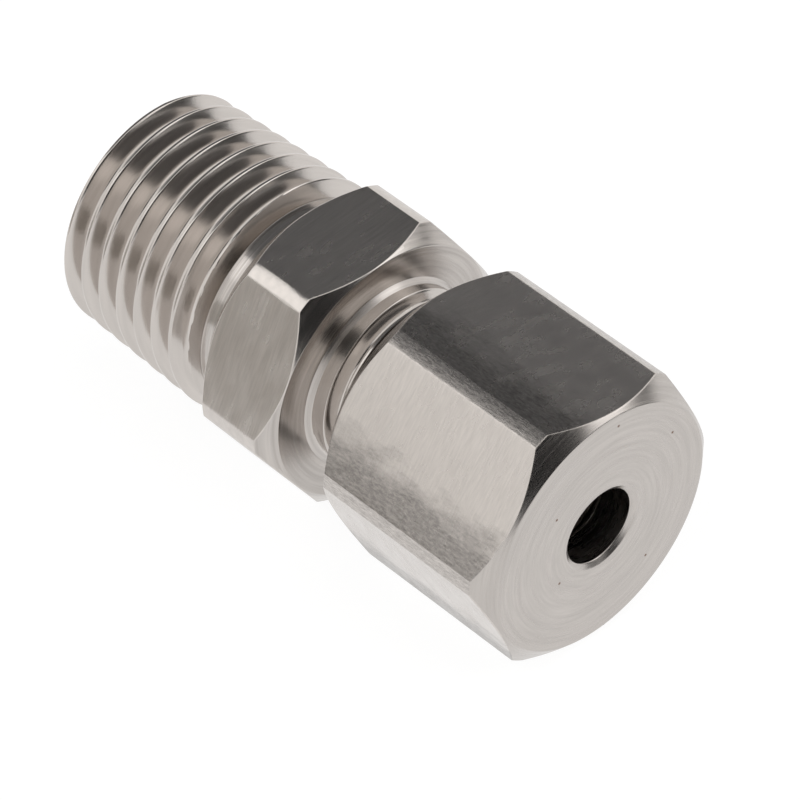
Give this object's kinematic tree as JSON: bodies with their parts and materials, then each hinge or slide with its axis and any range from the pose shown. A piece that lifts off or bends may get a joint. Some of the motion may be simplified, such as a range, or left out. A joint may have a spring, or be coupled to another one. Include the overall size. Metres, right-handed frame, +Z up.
{
  "type": "probe compression fitting",
  "caption": "Straight compression fitting with a taper pipe thread, a hexagon body, a cap nut and a ferrule, bored through for a thin sensor probe.",
  "frame": {"origin": "on the axis of the bore, in the back face of the body's hexagon, where the pipe thread ends", "axes": "+X along the bore from the pipe thread towards the cap nut, +Z up as the fitting lies on its side"},
  "size_m": [0.0318, 0.0156, 0.0146],
  "materials": {
    "body_steel": "bare turned stainless steel",
    "ferrule_steel": "finely turned stainless steel",
    "nut_steel": "bare turned stainless steel with drawn flats"
  },
  "bodies": {
    "fitting_body": {"fitting_body": "body_steel"},
    "ferrule": {"ferrule": "ferrule_steel"},
    "compression_nut": {"compression_nut": "nut_steel"}
  },
  "joints": [
    {"name": "ferrule_slide", "type": "slide", "parent": "fitting_body", "child": "ferrule", "axis": [1, 0, 0], "range_m": [0, 0.006]},
    {"name": "nut_turn", "type": "hinge", "parent": "ferrule", "child": "compression_nut", "pos_m": [0.0146, 0, 0], "axis": [1, 0, 0], "range_deg": [0, 2160]}
  ],
  "couplings": [
    {"joint": "ferrule_slide", "follows": "nut_turn", "m_per_rad": 0.00015915}
  ]
}
